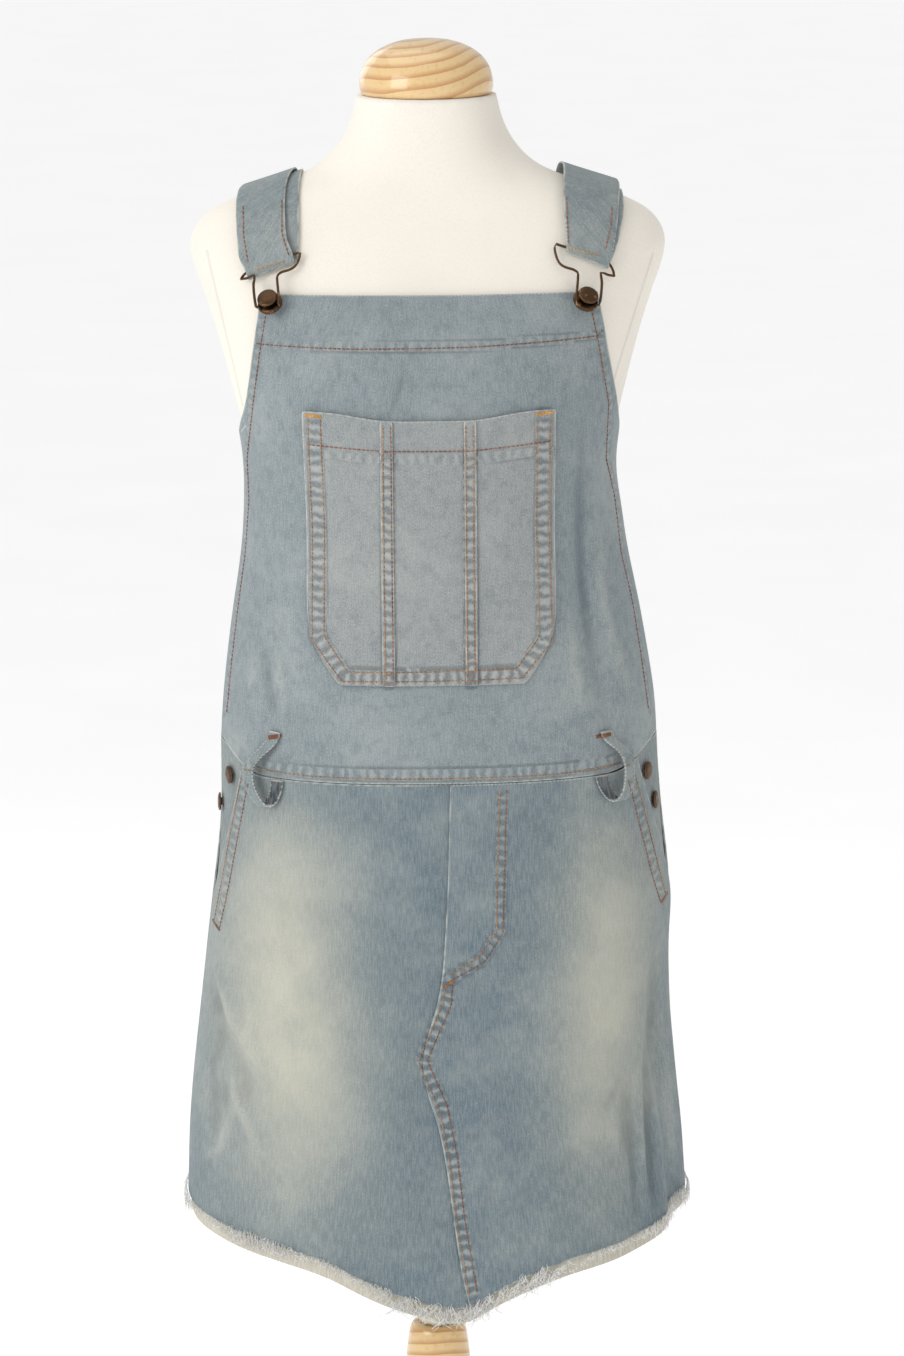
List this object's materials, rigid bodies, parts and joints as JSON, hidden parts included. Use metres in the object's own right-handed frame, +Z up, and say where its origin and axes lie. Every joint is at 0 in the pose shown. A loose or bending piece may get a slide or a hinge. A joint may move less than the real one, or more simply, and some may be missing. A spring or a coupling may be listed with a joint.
{
  "type": "denim dungaree dress on a dress form",
  "caption": "Denim dungaree dress with bib pocket and raw hem, worn by a limbless dress form on a turned wooden stand.",
  "frame": {"origin": "centre of the stand's foot, on the floor", "axes": "+Z up along the form, the front of the dress faces -Y, +X to the viewer's right"},
  "size_m": [0.4061, 0.33, 1.4965],
  "materials": {
    "denim": "stone-washed twill",
    "denim_pale": "stone-washed twill",
    "denim_dark": "stone-washed twill",
    "facing": "cotton twill",
    "fringe": "frayed cotton",
    "jersey": "stretched jersey",
    "pine": "varnished",
    "white_metal": "gloss",
    "bronze": "antique bronze"
  },
  "bodies": {
    "root": {"form_torso": "jersey", "neck_cap": "pine", "post": "white_metal", "stand_column": "pine", "stand_base": "pine", "bib_front": "denim", "bib_pocket": "denim_pale", "pocket_fell_left": "denim_pale", "pocket_fell_right": "denim_pale", "skirt_front_left": "denim", "skirt_front_right": "denim", "skirt_back": "denim", "bodice_back": "denim", "hip_facing_left": "denim_dark", "hip_facing_right": "denim_dark", "hem_facing_front": "facing", "hem_facing_back": "facing", "hem_fringe_front_left": "fringe", "hem_fringe_front_right": "fringe", "hem_fringe_back": "fringe", "strap_left": "denim", "strap_right": "denim", "bib_button_left": "bronze", "bib_button_right": "bronze", "buckle_left": "bronze", "buckle_right": "bronze", "belt_loop_left": "denim", "belt_loop_right": "denim", "side_button_left_upper": "bronze", "side_button_left_lower": "bronze", "side_button_right_upper": "bronze", "side_button_right_lower": "bronze"}
  },
  "joints": []
}
